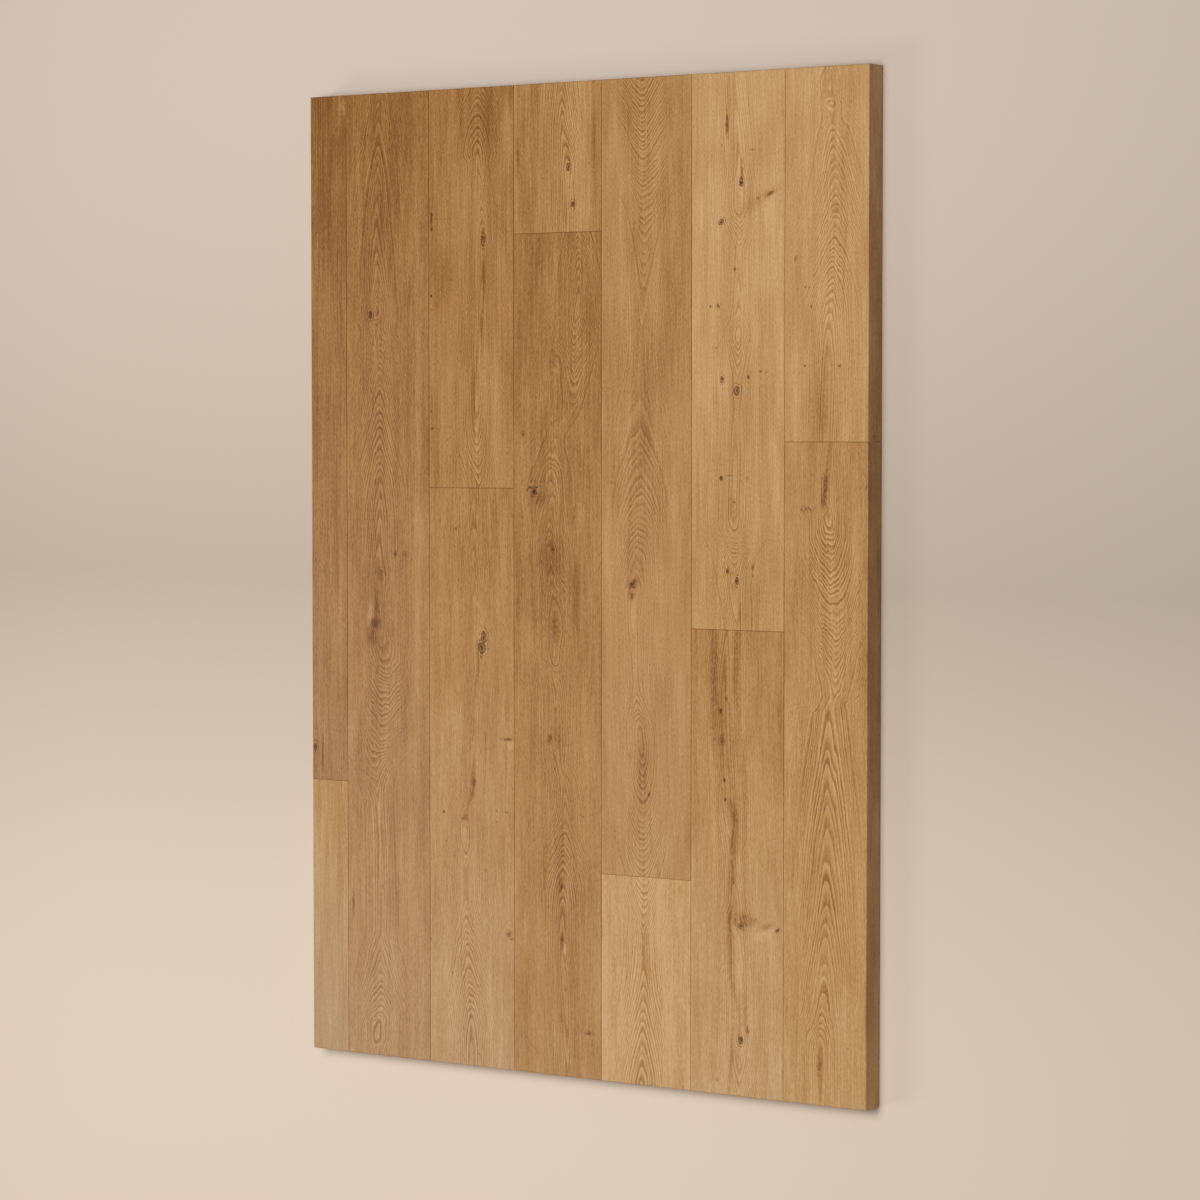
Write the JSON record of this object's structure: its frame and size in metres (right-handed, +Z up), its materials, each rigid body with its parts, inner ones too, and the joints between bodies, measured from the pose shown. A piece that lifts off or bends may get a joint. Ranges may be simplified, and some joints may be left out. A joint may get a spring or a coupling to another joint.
{
  "type": "wide plank floor panel",
  "caption": "Rectangular panel of thick wide oak floorboards, joined edge to edge and end to end by tongue and groove, with staggered butt joints.",
  "frame": {"origin": "middle of the underside, which rests on the floor", "axes": "+X across the boards, from course 1 to course 7; +Y along the boards, from the panel's foot to its head; +Z up, out of the wearing face"},
  "size_m": [1.2, 1.8, 0.048],
  "materials": {
    "oak": "satin oiled flat-sawn oak, knotty, honey brown"
  },
  "bodies": {
    "root": {"plank_1_lower": "oak", "plank_1_upper": "oak", "plank_2": "oak", "plank_3_lower": "oak", "plank_3_upper": "oak", "plank_4_lower": "oak", "plank_4_upper": "oak", "plank_5_lower": "oak", "plank_5_upper": "oak", "plank_6_lower": "oak", "plank_6_upper": "oak", "plank_7_lower": "oak", "plank_7_upper": "oak"}
  },
  "joints": []
}
